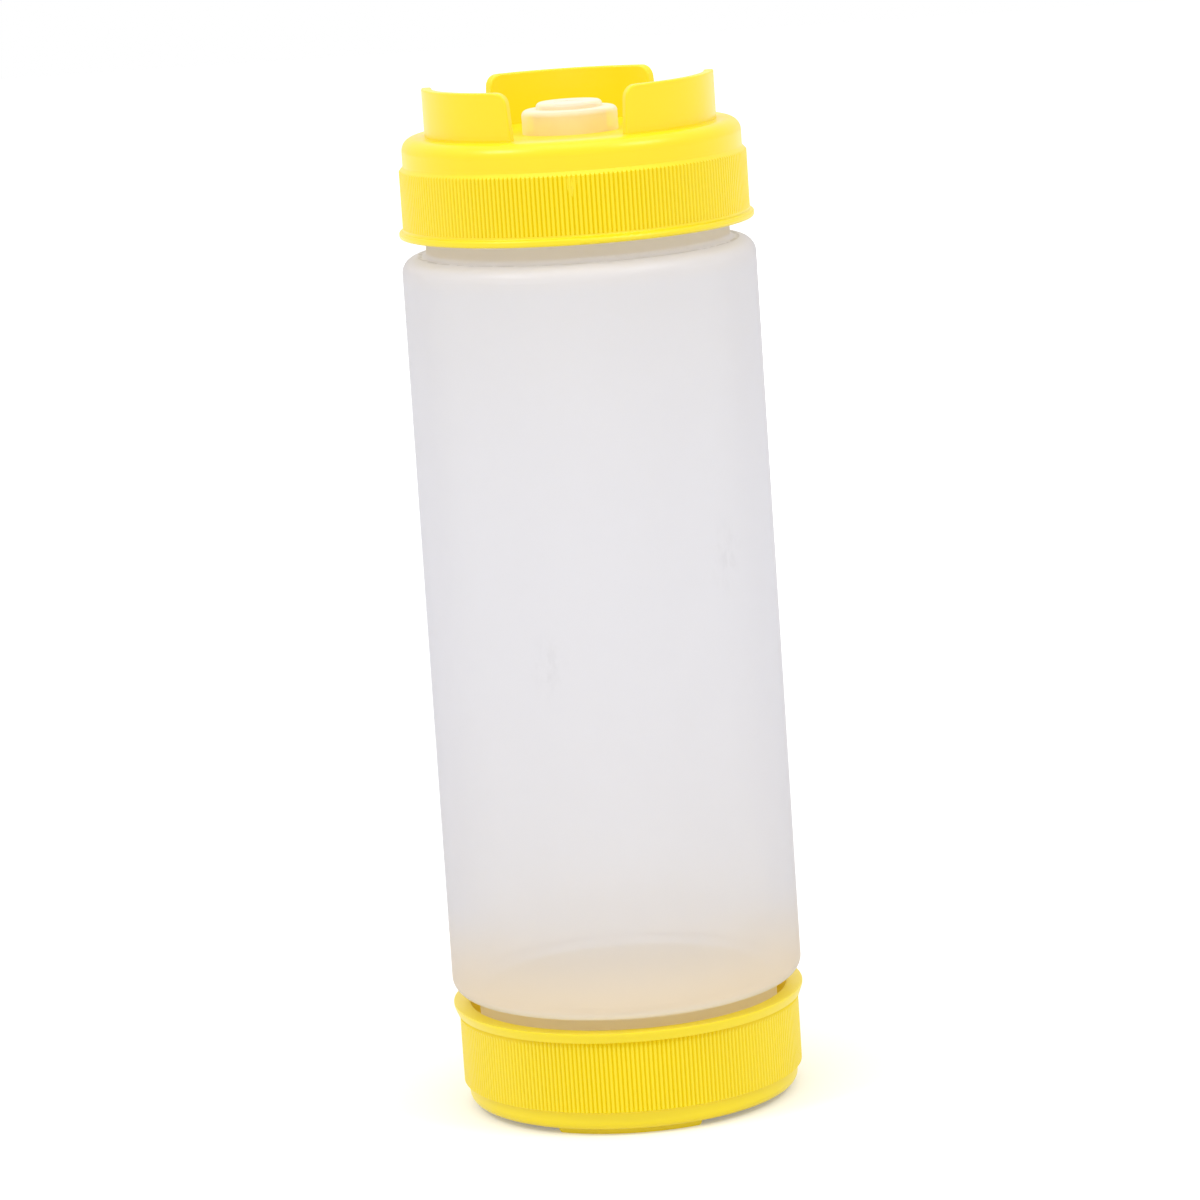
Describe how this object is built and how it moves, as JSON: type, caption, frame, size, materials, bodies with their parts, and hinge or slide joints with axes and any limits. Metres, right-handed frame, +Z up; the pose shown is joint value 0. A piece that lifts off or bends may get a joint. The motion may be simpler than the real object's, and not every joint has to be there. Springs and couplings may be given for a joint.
{
  "type": "squeeze bottle",
  "caption": "Upright two-ended squeeze bottle: translucent cylinder with a ribbed refill cap below and a ribbed dispensing cap with a walled crown and soft valve above.",
  "frame": {"origin": "on the bottle's axis, at the level of the feet under the refill cap", "axes": "+Z up along the bottle's axis towards the dispensing cap; -Y is the front, where a gap of the crown faces"},
  "size_m": [0.0702, 0.0702, 0.2045],
  "materials": {
    "bottle_plastic": "milky translucent soft polyethylene, satin",
    "cap_plastic": "bright yellow polypropylene, semi-gloss",
    "valve_silicone": "milky translucent silicone, satin"
  },
  "bodies": {
    "root": {"bottle": "bottle_plastic", "dispensing_cap": "cap_plastic", "refill_cap": "cap_plastic", "valve": "valve_silicone"}
  },
  "joints": []
}
